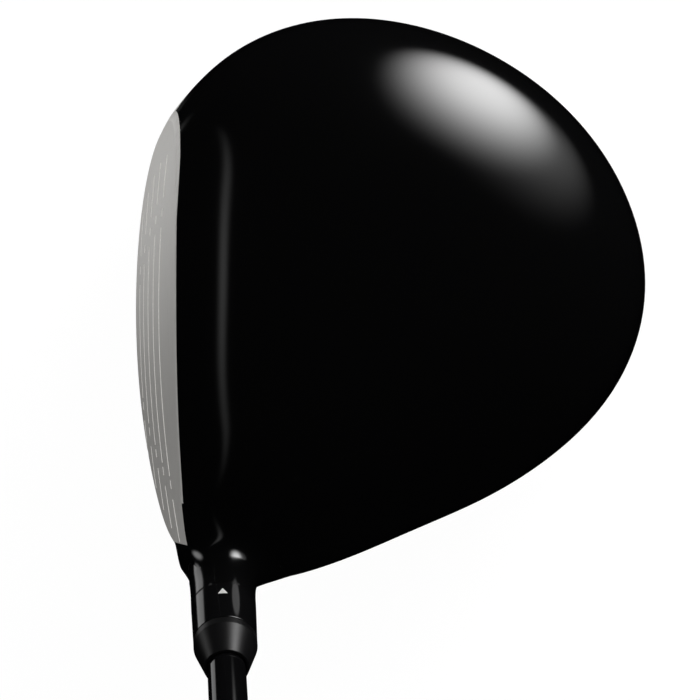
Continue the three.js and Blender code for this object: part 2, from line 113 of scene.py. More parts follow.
# Hosel, adapter, shaft and grip: heights run along the hosel axis from the ground.
NECK_TOP, NECK_RADIUS, NECK_BORE, NECK_ZONE, NECK_CORE = 67.0, 7.3, 6.1, 13.5, 7.5
NECK_CENTRE = 38.0           # the head is star-shaped about this point of the axis
FILLET = 14.0                # size of the blend between neck and head
RING_BOTTOM, RING_TOP, RING_TOP_RADIUS, RING_BORE = 67.2, 79.6, 7.1, 5.35
SLEEVE_RADIUS, SLEEVE_FLANGE, SLEEVE_BOTTOM, SLEEVE_TOP = 5.05, 6.5, 32.0, 80.8
FERRULE_GAP, FERRULE_STRAIGHT, FERRULE_LENGTH, FERRULE_TIP, FERRULE_BORE = 0.2, 1.8, 9.2, 5.0, 4.45
CLUB_LENGTH = 1155.7
SHAFT_TIP, SHAFT_BUTT, SHAFT_PARALLEL, SHAFT_WALL, SHAFT_BOTTOM = 4.25, 7.6, 60.0, 1.1, 43.5
PLUG_RADIUS, PLUG_BOTTOM, PLUG_TOP = 3.0, 44.5, 56.5
GRIP_LENGTH, GRIP_MOUTH, GRIP_BUTT, CAP_RADIUS, CAP_DEPTH = 268.0, 9.6, 13.3, 15.6, 6.0
TAPE, TAPE_GAP, GRIP_GAP = 0.25, 0.1, 0.25

# Inside the adapter, along the same axis.
TUBE_BORE, TUBE_RADIUS, TUBE_TOP, SEAT_BORE, SEAT_BOTTOM, SEAT_TOP = 5.25, 5.85, 66.3, 2.8, 20.0, 24.0
SLEEVE_POCKET, SLEEVE_THREAD, SLEEVE_FLOOR, POCKET_FLOOR, FLANGE_THICKNESS = 4.4, 2.6, 40.6, 41.4, 0.9
BOLT_HEAD, BOLT_BOTTOM, BOLT_SEAT, BOLT_TIP, BOLT_SOCKET = 4.0, 14.3, 18.9, 38.0, (2.2, 3.0)
WASHER_RADIUS, WASHER_BOTTOM, WASHER_TOP = 4.6, 19.1, 19.9
THREAD_RADIUS, THREAD_DEPTH, THREAD_PITCH, THREAD_HOLE = 2.4, 0.35, 0.8, 2.55      # of both screws

# Rear weight: heights run out of the sole along its own axis.
WEIGHT_RADIUS, WEIGHT_THICKNESS, WEIGHT_SINK, WEIGHT_BOSS = 8.6, 5.5, 0.6, 11.4
WEIGHT_FLOOR, WEIGHT_CLEARANCE = 3.0, 0.3
POCKET_RADIUS, POCKET_DEPTH, RILL_OUTER, RILL_INNER, RILL_DEPTH = 4.6, 2.6, 6.9, 5.9, 0.25
WEIGHT_BOLT_HEAD, WEIGHT_BOLT_HEIGHT, WEIGHT_BOLT_LENGTH, WEIGHT_BOLT_SOCKET = 4.2, 2.2, 10.4, (2.0, 1.4)

ROWS, COLUMNS = ((320, 420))    # of the outer surface of the head
TURNED = 96                  # sides of the turned parts
METRES = 0.001


# ---------------- meshes
def new_object(name, points, faces):
    mesh = bpy.data.meshes.new(name)
    mesh.from_pydata((np.asarray(points) * METRES).tolist(), [], faces)
    obj = bpy.data.objects.new(name, mesh)
    bpy.context.scene.collection.objects.link(obj)
    return obj


def stack(*coordinates):
    """Arrays of x, y and z, or numbers, as one array of points."""
    return np.stack(np.broadcast_arrays(*coordinates), axis=-1)


def ring_faces(rows, columns, wrap_rows=False):
    """Quads between rings of points, row after row."""
    quads = []
    for row in range(rows if wrap_rows else rows - 1):
        low, high = row * columns, (row + 1) % rows * columns
        for column in range(columns):
            following = (column + 1) % columns
            quads.append((low + column, low + following, high + following, high + column))
    return quads


def skin(name, rings, start=None, end=None):
    """A closed surface through rings of points, with an optional pole at each end."""
    rows, columns = rings.shape[:2]
    points = list(rings.reshape(-1, 3))
    faces = ring_faces(rows, columns, wrap_rows=start is None)
    if start is not None:
        points += [start, end]
        first, last = rows * columns, (rows - 1) * columns
        for column in range(columns):
            following = (column + 1) % columns
            faces.append((first, following, column))
            faces.append((first + 1, last + column, last + following))
    return new_object(name, points, faces)


def outward(obj):
    """Turns every face of a closed mesh outward."""
    mesh = obj.data
    mesh.calc_loop_triangles()
    corners = np.array([[mesh.vertices[i].co for i in t.vertices] for t in mesh.loop_triangles])
    volume = np.einsum("ij,ij->i", corners[:, 0], np.cross(corners[:, 1], corners[:, 2])).sum()
    if volume < 0:
        mesh.flip_normals()
    return obj


def duplicate(obj, name):
    copy = bpy.data.objects.new(name, obj.data.copy())
    bpy.context.scene.collection.objects.link(copy)
    return copy


def carve(base, operation, *cutters):
    """Cuts or joins base with each cutter in turn."""
    for cutter in cutters:
        modifier = base.modifiers.new(operation, "BOOLEAN")
        modifier.solver = "MANIFOLD"
        modifier.operation = operation
        modifier.object = cutter
    graph = bpy.context.evaluated_depsgraph_get()
    mesh = bpy.data.meshes.new_from_object(base.evaluated_get(graph))
    base.modifiers.clear()
    base.data = mesh
    return base


def read(items, key, kind=int, width=1):
    """One property of every item of a mesh, as an array."""
    values = np.empty(len(items) * width, kind)
    items.foreach_get(key, values)
    return values.reshape(-1, width) if width > 1 else values


def smooth(obj, angle):
    """Smooth shading with crisp edges above an angle, weighted so that flats stay flat."""
    mesh = obj.data
    mesh.polygons.foreach_set("use_smooth", np.ones(len(mesh.polygons), bool))
    mesh.set_sharp_from_angle(angle=math.radians(angle))
    weighted = obj.modifiers.new("weighted_normals", "WEIGHTED_NORMAL")
    weighted.keep_sharp = True
    weighted.weight = 80
    return obj


# ---------------- turned parts
def soften(profile, radius, steps=3):
    """Rounds the corners of a profile; one that ends where it starts is rounded there too."""
    points = [np.array(p, float) for p in profile]
    closed = np.allclose(points[0], points[-1])
    if closed:
        points = points[:-1]
    count = len(points)
    rounded = []
    for i, corner in enumerate(points):
        back, ahead = points[i - 1] - corner, points[(i + 1) % count] - corner
        reach_back, reach_ahead = np.linalg.norm(back), np.linalg.norm(ahead)
        straight = np.dot(back, ahead) / (reach_back * reach_ahead) < -0.985
        if straight or not closed and i in (0, count - 1):
            rounded.append(corner)
            continue
        size = min(radius, 0.4 * reach_back, 0.4 * reach_ahead)
        enter, leave = corner + back / reach_back * size, corner + ahead / reach_ahead * size
        for s in np.linspace(0, 1, steps + 1):
            rounded.append((1 - s) ** 2 * enter + 2 * s * (1 - s) * corner + s ** 2 * leave)
    if closed:
        rounded.append(rounded[0])
    return rounded


def turned_points(radii, heights, place, sides):
    """Rings of points round a local axis, in the frame of the part."""
    turn = np.arange(sides) * 2 * np.pi / sides
    radii, heights = np.asarray(radii)[:, None], np.asarray(heights)[:, None]
    return stack(radii * np.cos(turn), radii * np.sin(turn), heights) @ place[:3, :3].T + place[:3, 3]


def turned(name, profile, place, sides=TURNED):
    """A solid of revolution: the profile runs from axis to axis, or closes on itself."""
    profile = np.array(profile, float)
    if np.allclose(profile[0], profile[-1]):
        rings = turned_points(profile[:-1, 0], profile[:-1, 1], place, sides)
        return outward(skin(name, rings))
    rings = turned_points(profile[1:-1, 0], profile[1:-1, 1], place, sides)
    poles = (place[:3, 3] + place[:3, 2] * profile[k, 1] for k in (0, -1))
    return outward(skin(name, rings, *poles))


def rod(name, radius, bottom, top, place, sides=TURNED):
    return turned(name, [(0, bottom), (radius, bottom), (radius, top), (0, top)], place, sides)


def axis_place(joint_name):
    """Local frame of a joint's axis, whose origin is the joint's own point, in millimetres."""
    joint = next(j for j in frame["joints"] if j["name"] == joint_name)
    along = np.array(joint["axis"], float)
    side = np.cross((0, 1, 0), along)
    side /= np.linalg.norm(side)
    place = np.eye(4)
    place[:3, :3] = np.stack([side, np.cross(along, side), along], axis=1)
    place[:3, 3] = np.array(joint["pos_m"]) / METRES
    return place


HOSEL = axis_place("adapter_turn")
HOSEL[:3, 3] -= HOSEL[:3, 2] * HOSEL[2, 3] / HOSEL[2, 2]       # moved down the axis to the ground
AXIS = HOSEL[:3, 2]
FOOT = HOSEL[:3, 3]
CENTRE = FOOT + AXIS * NECK_CENTRE
WEIGHT = axis_place("rear_weight_screw_turn")


# ---------------- shape of the head
def ramp(x, blend):
    return blend * np.log1p(np.exp(np.minimum(x / blend, 40)))


def plan_radius(angle):
    count = len(PLAN_RADII)
    turn = angle / (2 * np.pi) % 1 * count
    cell = np.floor(turn).astype(int)
    f = turn - cell
    weights = ((1 - f) ** 3, 3 * f ** 3 - 6 * f ** 2 + 4, -3 * f ** 3 + 3 * f ** 2 + 3 * f + 1, f ** 3)
    return sum(w / 6 * PLAN_RADII[(cell - 1 + k) % count] for k, w in enumerate(weights))


def edge_height(x):
    return EDGE_HEIGHT + EDGE_SLOPE * x


def crown_rise(x, y):
    crest = CREST_X + (y - CREST_Y) ** 2 / (2 * CREST_RADIUS)
    return CROWN_HEIGHT - edge_height(x) - CREST_SLOPE * ramp(crest - x, CREST_BLEND)


def sole_depth(x, y):
    rear = ramp(x - REAR_START, REAR_BLEND) ** 2 / (2 * REAR_RADIUS)
    heel = ramp(-y - HEEL_START, HEEL_BLEND) ** 2 / (2 * HEEL_RADIUS)
    return np.maximum(edge_height(x) + SOLE_DROP - rear - heel, 1.0)


def dome_level(points):
    """Above 0 outside the plain dome of the head, below 0 inside it."""
    x, y, z = points[..., 0], points[..., 1], points[..., 2]
    across = np.hypot(x, y) / plan_radius(np.arctan2(y, x))
    rise = z - edge_height(x)
    crown = across ** CROWN_FULLNESS[0] + (np.maximum(rise, 0) / crown_rise(x, y)) ** CROWN_FULLNESS[1]
    sole = across ** SOLE_FULLNESS[0] + (np.maximum(-rise, 0) / sole_depth(x, y)) ** SOLE_FULLNESS[1]
    return np.where(rise > 0, crown, sole) - 1


def last_inside(is_outside, shape, farthest, halvings):
    """The largest distances that are still inside, found by halving."""
    near, far = np.zeros(shape), np.full(shape, farthest)
    for _ in range(halvings):
        middle = (near + far) / 2
        outside = is_outside(middle)
        far = np.where(outside, middle, far)
        near = np.where(outside, near, middle)
    return near


def dome_reach(directions):
    """Distance from CENTRE to the plain dome, along each unit direction."""
    def is_outside(distance):
        return dome_level(CENTRE + directions * distance[..., None]) > 0

    near = last_inside(is_outside, directions.shape[:-1], 190.0, 30)
    down = np.maximum(-directions[..., 2], 1e-9)
    return np.minimum(near, CENTRE[2] / down)


def reach(directions):
    """Distance from CENTRE to the outside of the head and its neck, which blend into each other."""
    cosine = np.clip(directions @ AXIS, -1, 1)
    sine = np.sqrt(1 - cosine ** 2)
    cap = (NECK_TOP + 7 - NECK_CENTRE) / np.maximum(cosine, 1e-3)
    fade = np.clip((np.degrees(np.arccos(cosine)) - 55) / 45, 0, 1)
    kept = 1 - fade ** 2 * (3 - 2 * fade)
    neck = np.minimum(NECK_RADIUS / np.maximum(sine, 1e-3), cap) * kept
    dome = dome_reach(directions)
    blend = np.maximum(FILLET * kept, 1e-6)
    overlap = np.maximum(blend - np.abs(dome - neck), 0) / blend
    return np.maximum(dome, neck) + overlap ** 2 * blend / 4


def outer_distance(points):
    """How far each point is outside the head, measured from CENTRE."""
    offset = points - CENTRE
    distance = np.linalg.norm(offset, axis=-1)
    return distance - reach(offset / distance[..., None])


def outer_normals(points, step=1e-3):
    """Unit normals of the outside of the head at points on it."""
    offset = points - CENTRE
    distance = np.linalg.norm(offset, axis=-1, keepdims=True)
    direction = offset / distance
    helper = np.where(np.abs(direction[..., 2:]) < 0.9, (0.0, 0.0, 1.0), (1.0, 0.0, 0.0))
    first = np.cross(direction, helper)
    first /= np.linalg.norm(first, axis=-1, keepdims=True)
    normal = direction.copy()
    for tangent in (first, np.cross(direction, first)):
        ends = []
        for sign in (-1, 1):
            tilted = direction + sign * step * tangent
            ends.append(reach(tilted / np.linalg.norm(tilted, axis=-1, keepdims=True)))
        normal -= tangent * ((ends[1] - ends[0]) / (2 * step))[..., None] / distance
    return normal / np.linalg.norm(normal, axis=-1, keepdims=True)


def head_grid(rows, columns):
    """Directions from CENTRE, in rings round the hosel axis."""
    swing = (np.arange(1, rows) / rows * np.pi)[:, None]
    turn = np.arange(columns) * 2 * np.pi / columns
    local = stack(np.sin(swing) * np.cos(turn), np.sin(swing) * np.sin(turn), np.cos(swing))
    return local @ HOSEL[:3, :3].T


def head_solid(name, inset=0.0, rows=ROWS, columns=COLUMNS):
    """The whole head as one closed body, or the same body shrunk inwards."""
    directions = np.concatenate([head_grid(rows, columns).reshape(-1, 3), [AXIS, -AXIS]])
    points = CENTRE + directions * reach(directions)[:, None]
    if inset:
        points -= outer_normals(points) * inset
    rings = points[:-2].reshape(rows - 1, columns, 3)
    return outward(skin(name, rings, points[-2], points[-1]))


def face_x(y, z):
    height = z - FACE_Z
    return (FACE_X + math.tan(LOFT) * height + height ** 2 / (2 * FACE_ROLL)
            + (y - FACE_Y) ** 2 / (2 * FACE_BULGE))


def face_normals(points):
    y, z = points[..., 1], points[..., 2]
    normal = stack(-1.0, (y - FACE_Y) / FACE_BULGE, math.tan(LOFT) + (z - FACE_Z) / FACE_ROLL)
    return normal / np.linalg.norm(normal, axis=-1, keepdims=True)


# ---------------- blocks that cut the head apart
def grid_block(name, front, back):
    """A closed block between two grids of points of the same shape."""
    rows, columns = front.shape[:2]
    points = np.concatenate([front.reshape(-1, 3), back.reshape(-1, 3)])
    size = rows * columns
    faces = []
    for row in range(rows - 1):
        for column in range(columns - 1):
            a = row * columns + column
            quad = (a, a + 1, a + columns + 1, a + columns)
            faces += [quad, tuple(size + i for i in reversed(quad))]
    rim = list(range(columns))
    rim += [r * columns + columns - 1 for r in range(1, rows)]
    rim += [(rows - 1) * columns + c for c in range(columns - 2, -1, -1)]
    rim += [r * columns for r in range(rows - 2, 0, -1)]
    for a, b in zip(rim, rim[1:] + rim[:1]):
        faces.append((b, a, size + a, size + b))
    return outward(new_object(name, points, faces))


def face_layer(name, front, back):
    """The layer between two depths behind the face surface; front None reaches far ahead of it."""
    y, z = np.meshgrid(np.linspace(-95, 75, 86), np.linspace(-15, 90, 54))
    ahead = face_x(y, z) + front if front is not None else -REACH
    return grid_block(name, stack(ahead, y, z), stack(face_x(y, z) + back, y, z))


def above_seam(name, raised):
    """Everything above the seam plane of the crown."""
    x, y = np.meshgrid((-REACH, REACH), (-REACH, REACH))
    seam = EDGE_HEIGHT - PARTING_DROP + raised + EDGE_SLOPE * x
    return grid_block(name, stack(x, y, seam), stack(x, y, REACH))


def panel_prism(name, grow):
    """Oval column through the sole."""
    heights = (-10, EDGE_HEIGHT / 2)
    rings = turned_points([1, 1], heights, np.eye(4), 160)
    rings[..., 0] = PANEL_X + rings[..., 0] * (PANEL_LENGTH + grow)
    rings[..., 1] = PANEL_Y + rings[..., 1] * (PANEL_WIDTH + grow)
    return outward(skin(name, rings, *[(PANEL_X, PANEL_Y, z) for z in heights]))


def chamfer_cutter(name, columns=720):
    """Takes the sharp edge off the rim of the face; the bevel runs out to nothing beside the neck."""
    turn = np.linspace(0, 2 * np.pi, columns, endpoint=False)
    heading = stack(np.cos(turn), np.sin(turn))
    middle = np.array((-5.0, FACE_Z))

    def at(radius, depth):
        flat = middle + heading * radius[:, None]
        return np.column_stack([face_x(flat[:, 0], flat[:, 1]) + depth, flat])

    def rim(depth):
        return last_inside(lambda radius: outer_distance(at(radius, depth)) > 0, columns, 90.0, 26)

    edge = rim(0.0)
    from_axis = np.linalg.norm(np.cross(at(edge, 0.0) - FOOT, AXIS), axis=1)
    share = np.clip((from_axis - NECK_CORE - 1) / 8, 0, 1)
    toe = np.clip((middle[0] + heading[:, 0] * edge - TOE_START) / TOE_LENGTH, 0, 1)
    toe *= np.clip((middle[1] + heading[:, 1] * edge - TOE_HEIGHT) / TOE_LENGTH, 0, 1)
    size = np.maximum(FACE_CHAMFER * share ** 2 * (3 - 2 * share) * (1 + TOE_CHAMFER * toe), 0.01)
    front, side = at(edge - size, 0.0), at(rim(size), size)
    slope = side - front
    section = [front - 0.5 * slope, side + 0.5 * slope, at(edge + 1.5, -1.5)]
    kept = np.flatnonzero(from_axis > NECK_CORE + 0.5)
    start = kept[np.argmax(np.diff(kept)) + 1] if np.diff(kept).max() > 1 else kept[0]
    order = (start + np.arange(len(kept))) % columns
    rings = np.stack([points[order] for points in section], axis=1)
    return outward(skin(name, rings, rings[0].mean(0), rings[-1].mean(0)))


SCORE_TOP, SCORE_PITCH, SCORE_COUNT = 39.6, 6.3, 5
SCORE_WIDTH, SCORE_DEPTH = 0.80, 0.14
SHORT_DASH, LONG_DASH, DASH_GAP = 1.9, 9.8, 2.5


def score_dashes():
    """(height, heel end, toe end) of each groove: a long middle run with two dashes on either side."""
    dashes = []
    for k in range(SCORE_COUNT):
        z = SCORE_TOP - k * SCORE_PITCH
        toe = 17.0 - 0.9 * k - 0.57 * k ** 2
        heel = -40.0 + 2.4 * k + 0.5 * k ** 2
        dashes.append((z, heel, toe))
        toe += DASH_GAP
        heel -= 0.4 * DASH_GAP
        for dash in (SHORT_DASH, LONG_DASH):
            dashes += [(z, toe, toe + dash), (z, heel - dash, heel)]
            toe = toe + dash + DASH_GAP
            heel = heel - dash - DASH_GAP
    return dashes


def groove_cutters():
    cutters = []
    for i, (height, heel, toe) in enumerate(score_dashes()):
        stations = np.linspace(heel, toe, max(2, int((toe - heel) / 1.5)))
        y, z = np.meshgrid(stations, (height - SCORE_WIDTH / 2, height + SCORE_WIDTH / 2))
        front, back = (stack(face_x(y, z) + depth, y, z) for depth in (-0.5, SCORE_DEPTH))
        cutters.append(grid_block(f"groove_{i}", front, back))
    return cutters


# ---------------- materials
PAINT_HEIGHT, PAINT_SLOPE = 9.8, -0.65       # the paint line on the rim of the face: z = height + slope * x
PAINT_HEEL = -55.5                           # the front of the face is painted from here to the neck
BARE_METAL = (0.62, 0.61, 0.59)
BLACK_PAINT = (0.0015, 0.0015, 0.0016)


class Nodes:
    """The node tree of a material or a world, with short ways to add to it."""

    def __init__(self, owner):
        owner.use_nodes = True
        self.tree = owner.node_tree
        self.nodes = self.tree.nodes

    def node(self, kind, values=None, **settings):
        node = self.nodes.new("ShaderNode" + kind)
        for key, value in settings.items():
            setattr(node, key, value)
        for key, value in (values or {}).items():
            node.inputs[key].default_value = value
        return node

    def link(self, output, target):
        self.tree.links.new(output, target)

    def feed(self, value, target):
        """Gives an input a number or another node's output."""
        if isinstance(value, (int, float)):
            target.default_value = value
        else:
            self.link(value, target)

    def math(self, operation, *values, **settings):
        node = self.node("Math", operation=operation, **settings)
        for slot, value in enumerate(values):
            self.feed(value, node.inputs[slot])
        return node.outputs[0]


class Look(Nodes):
    """A procedural material: a principled surface and the nodes that feed it."""

    def __init__(self, name, colour, roughness, metallic=0.0, **inputs):
        self.material = bpy.data.materials.new(name)
        super().__init__(self.material)
        self.surface = self.nodes["Principled BSDF"]
        self.set("Base Color", (*colour, 1.0))
        self.set("Roughness", roughness)
        self.set("Metallic", metallic)
        for key, value in inputs.items():
            self.set(key.replace("_", " "), value)

    def set(self, key, value):
        self.surface.inputs[key].default_value = value

    def axes(self, vector):
        """The X, Y and Z of a vector."""
        split = self.node("SeparateXYZ")
        self.link(vector, split.inputs[0])
        return split.outputs

    def mix(self, share, first, second):
        """Two shaders mixed."""
        node = self.node("MixShader")
        self.feed(share, node.inputs["Fac"])
        self.link(first, node.inputs[1])
        self.link(second, node.inputs[2])
        return node.outputs[0]

    def show(self, shader):
        self.link(shader, self.nodes["Material Output"].inputs["Surface"])

    def position(self, cells_per_mm=(1, 1, 1)):
        """Object position, scaled to so many pattern cells per millimetre."""
        mapping = self.node("Mapping", {"Scale": [c / METRES for c in cells_per_mm]})
        self.link(self.node("TexCoord").outputs["Object"], mapping.inputs["Vector"])
        return mapping.outputs["Vector"]

    def noise(self, cells_per_mm, detail=3.0, roughness=0.5):
        node = self.node("TexNoise", {"Scale": 1.0, "Detail": detail, "Roughness": roughness})
        self.link(self.position(cells_per_mm), node.inputs["Vector"])
        return node.outputs["Fac"]

    def spread(self, value, low, high, key):
        """Feeds an input with value, spread from low to high."""
        spread = self.node("MapRange", {"To Min": low, "To Max": high})
        self.link(value, spread.inputs["Value"])
        self.link(spread.outputs["Result"], self.surface.inputs[key])

    def tint(self, value, dark, light):
        mixed = self.node("Mix", {6: (*dark, 1.0), 7: (*light, 1.0)}, data_type="RGBA")
        self.link(value, mixed.inputs["Factor"])
        self.link(mixed.outputs[2], self.surface.inputs["Base Color"])

    def overpaint(self, coordinate, comparison, limit):
        """Gloss black paint where a coordinate in millimetres is past a limit, a number or another output."""
        black = self.node("BsdfPrincipled", {"Base Color": (*BLACK_PAINT, 1.0), "Roughness": 0.1})
        painted = self.math(comparison, coordinate, limit)
        self.show(self.mix(painted, self.surface.outputs[0], black.outputs[0]))

    def bump(self, value, depth_mm, strength=1.0, key="Normal"):
        bump = self.node("Bump", {"Strength": strength, "Distance": depth_mm * METRES})
        self.link(value, bump.inputs["Height"])
        self.link(bump.outputs["Normal"], self.surface.inputs[key])


def gloss_black(name, colour, roughness):
    look = Look(name, colour, roughness, Specular_IOR_Level=0.5)
    cloud = look.noise((0.05, 0.05, 0.05))
    look.spread(cloud, roughness * 0.85, roughness * 1.2, "Roughness")
    look.bump(look.noise((1.1, 1.1, 1.1)), 0.004, 0.25)
    return look.material


def brushed_look(name, colour, roughness, grain, depth=0.006, metallic=1.0):
    """Metal with fine lines along the axis that has the fewest cells of grain."""
    look = Look(name, colour, roughness, metallic)
    lines = look.noise(grain, detail=4.0, roughness=0.65)
    look.spread(lines, roughness - 0.08, roughness + 0.1, "Roughness")
    look.tint(lines, [c * 0.8 for c in colour], [min(c * 1.15, 1) for c in colour])
    look.bump(lines, depth, 0.6)
    return look


def satin(name, colour, roughness, speckle, depth, specular=0.5):
    look = Look(name, colour, roughness, Specular_IOR_Level=specular)
    grain = look.noise((speckle,) * 3, detail=5.0)
    look.spread(grain, roughness - 0.06, roughness + 0.08, "Roughness")
    look.tint(grain, [c * 0.8 for c in colour], [c * 1.25 for c in colour])
    look.bump(grain, depth, 0.5)
    return look.material


def carbon_weave(name, tow=1.6):
    """Twill of carbon tows under a clear coat."""
    look = Look(name, (0.02, 0.02, 0.022), 0.35, Coat_Weight=1.0, Coat_Roughness=0.04)
    x, y = look.axes(look.position((1 / tow, 1 / tow, 0)))[:2]
    phase = look.math("FLOORED_MODULO", look.math("ADD", look.math("FLOOR", x), look.math("FLOOR", y)), 4.0)
    warp_on_top = look.math("LESS_THAN", phase, 1.5)
    height = look.node("Mix", data_type="FLOAT")
    look.link(warp_on_top, height.inputs["Factor"])
    for key, along in (("A", y), ("B", x)):
        hump = look.math("SINE", look.math("MULTIPLY", look.math("FRACT", along), math.pi))
        look.link(hump, height.inputs[key])
    look.tint(warp_on_top, (0.012, 0.012, 0.013), (0.05, 0.05, 0.053))
    look.bump(height.outputs["Result"], 0.12, 0.7)
    return look.material


def face_return(name):
    """Black paint on the upper part of the rim of the face, bare metal under a sloping paint line."""
    look = brushed_look(name, BARE_METAL, 0.4, (1.5, 0.3, 1.5), 0.003, 0.3)
    place = look.axes(look.position())
    paint_line = look.math("MULTIPLY_ADD", place["X"], PAINT_SLOPE, PAINT_HEIGHT)
    look.overpaint(place["Z"], "GREATER_THAN", paint_line)
    return look.material


def face_front(name):
    """Titanium brushed from heel to toe, painted black where it runs into the neck."""
    look = brushed_look(name, (0.52, 0.51, 0.49), 0.42, (4.0, 0.06, 4.0), 0.01, 0.35)
    look.overpaint(look.axes(look.position())["Y"], "LESS_THAN", PAINT_HEEL)
    return look.material


GLOSS = {      # colour, roughness
    "crown_black": (BLACK_PAINT, 0.10),
    "head_black": (BLACK_PAINT, 0.12),
    "ring_black": ((0.0022, 0.0022, 0.0024), 0.10),
    "shaft_black": ((0.002, 0.002, 0.0022), 0.08),
}
BRUSHED = {    # colour, roughness, grain in cells per mm, depth of the lines, metallic
    "bare_edge": (BARE_METAL, 0.45, (1.5, 0.3, 1.5), 0.003, 0.3),
    "raw_titanium": ((0.50, 0.49, 0.48), 0.45, (0.8, 0.8, 0.8)),
    "sleeve_aluminium": ((0.11, 0.11, 0.12), 0.34, (2.0, 2.0, 2.0), 0.003),
    "screw_steel": ((0.50, 0.51, 0.53), 0.28, (3.0, 3.0, 3.0), 0.003),
    "brass": ((0.72, 0.55, 0.25), 0.3, (2.0, 2.0, 0.5), 0.003),
    "weight_tungsten": ((0.24, 0.24, 0.25), 0.36, (1.2, 1.2, 1.2)),
}
SATIN = {      # colour, roughness, speckle in cells per mm, depth of the speckle, specular
    "score_fill": ((0.95, 0.94, 0.91), 0.7, 2.0, 0.01),
    "ferrule_black": ((0.003, 0.003, 0.0032), 0.34, 4.0, 0.001, 0.2),
    "tape": ((0.78, 0.74, 0.64), 0.8, 1.5, 0.03),
    "grip_rubber": ((0.028, 0.028, 0.028), 0.78, 2.2, 0.05),
    "cap_rubber": ((0.032, 0.032, 0.032), 0.7, 2.2, 0.03),
    "mark_white": ((0.42, 0.42, 0.41), 0.5, 2.0, 0.005),
}
MATERIALS = {
    "face_titanium": face_front("face_titanium"),
    "face_return": face_return("face_return"),
    "sole_carbon": carbon_weave("sole_carbon"),
    "composite": carbon_weave("composite", 2.2),
}
MATERIALS.update({name: gloss_black(name, *settings) for name, settings in GLOSS.items()})
MATERIALS.update({name: brushed_look(name, *settings).material for name, settings in BRUSHED.items()})
MATERIALS.update({name: satin(name, *settings) for name, settings in SATIN.items()})


def paint(obj, material):
    obj.data.materials.clear()
    obj.data.materials.append(MATERIALS[material])
    return obj


def finish_piece(obj, body, node):
    """Rides the piece on its body and hides the CAD node that it stands for."""
    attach(obj, body)
    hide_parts(node)


def plain_piece(obj, body, material, node, angle=35):
    """Finishes a piece of one material, smooth but for the edges sharper than the angle."""
    finish_piece(smooth(paint(obj, material), angle), body, node)


# ---------------- shading of the carved head pieces
class Faces:
    """Arrays that describe the polygons of a carved mesh, in millimetres."""

    def __init__(self, mesh):
        self.mesh = mesh
        self.points = read(mesh.vertices, "co", np.float32, 3).astype(float) / METRES
        self.start = read(mesh.polygons, "loop_start")
        self.corners = read(mesh.loops, "vertex_index")
        self.face_of_corner = np.repeat(np.arange(len(mesh.polygons)), read(mesh.polygons, "loop_total"))

    def all(self, vertex_mask):
        """True for each polygon whose every corner is in the mask."""
        return np.logical_and.reduceat(vertex_mask[self.corners], self.start)

    def any(self, vertex_mask):
        """True for each polygon with at least one corner in the mask."""
        return np.logical_or.reduceat(vertex_mask[self.corners], self.start)

    def shade(self, *rules):
        """Sets exact normals where a rule (polygon mask, normal function) says so, plain ones elsewhere."""
        mesh = self.mesh
        mesh.polygons.foreach_set("use_smooth", np.ones(len(mesh.polygons), bool))
        mesh.set_sharp_from_angle(angle=math.radians(30))
        normals = read(mesh.corner_normals, "vector", np.float32, 3)
        for mask, normal_of in rules:
            corners = np.flatnonzero(mask[self.face_of_corner])
            used, back = np.unique(self.corners[corners], return_inverse=True)
            normals[corners] = normal_of(self.points[used])[back]
        mesh.normals_split_custom_set(normals.tolist())

    def dress(self, materials, index):
        self.mesh.materials.clear()
        for name in materials:
            self.mesh.materials.append(MATERIALS[name])
        self.mesh.polygons.foreach_set("material_index", index.astype(np.int32))


OUTER_TOLERANCE = 0.15


def finish_shell(obj, outside, inside, node):
    """Finishes a shell of the head, with exact normals on its outside."""
    faces = Faces(obj.data)
    on_surface = np.abs(outer_distance(faces.points)) < OUTER_TOLERANCE
    outer = faces.all(on_surface)
    faces.dress((outside, inside), np.where(faces.any(on_surface), 0, 1))
    faces.shade((outer, outer_normals))
    finish_piece(obj, "head", node)


def dress_face(obj):
    """Brushed front with filled grooves, bright bevel, painted top return and bare metal elsewhere."""
    faces = Faces(obj.data)
    depth = faces.points[:, 0] - face_x(faces.points[:, 1], faces.points[:, 2])
    inside = -outer_distance(faces.points)
    on_front = faces.all(np.abs(depth) < 0.02)
    on_return = faces.all(inside < OUTER_TOLERANCE) & ~on_front
    groove = faces.all((depth < SCORE_DEPTH + 0.05) & (inside > 2 * FACE_CHAMFER)) & ~on_front
    widest_bevel = FACE_CHAMFER * (1 + TOE_CHAMFER)
    bevel = faces.all(depth < widest_bevel + 0.05) & ~on_front & ~on_return & ~groove
    at_rim = faces.any(inside < OUTER_TOLERANCE)
    index = np.select([on_front, groove, bevel, on_return | at_rim], [0, 1, 2, 3], 4)
    faces.dress(("face_titanium", "score_fill", "bare_edge", "face_return", "raw_titanium"), index)
    faces.shade((on_front, face_normals), (on_return, outer_normals))


# ---------------- pieces of the head
def neck_rod(name, radius, bottom=20.0, top=95.0):
    return rod(name, radius, bottom, top, HOSEL)


def neck_mouth(bevel=0.25, bottom=10, wide=30, top=95):
    """Takes the neck down to its rim, with a small bevel on both edges."""
    profile = [(0, bottom), (NECK_BORE, bottom), (NECK_BORE, NECK_TOP - bevel), (NECK_BORE + bevel, NECK_TOP),
               (NECK_RADIUS - bevel, NECK_TOP), (NECK_RADIUS + 0.1, NECK_TOP - bevel - 0.1),
               (wide, NECK_TOP - bevel - 0.1), (wide, top), (0, top)]
    return turned("neck_mouth", profile, HOSEL)


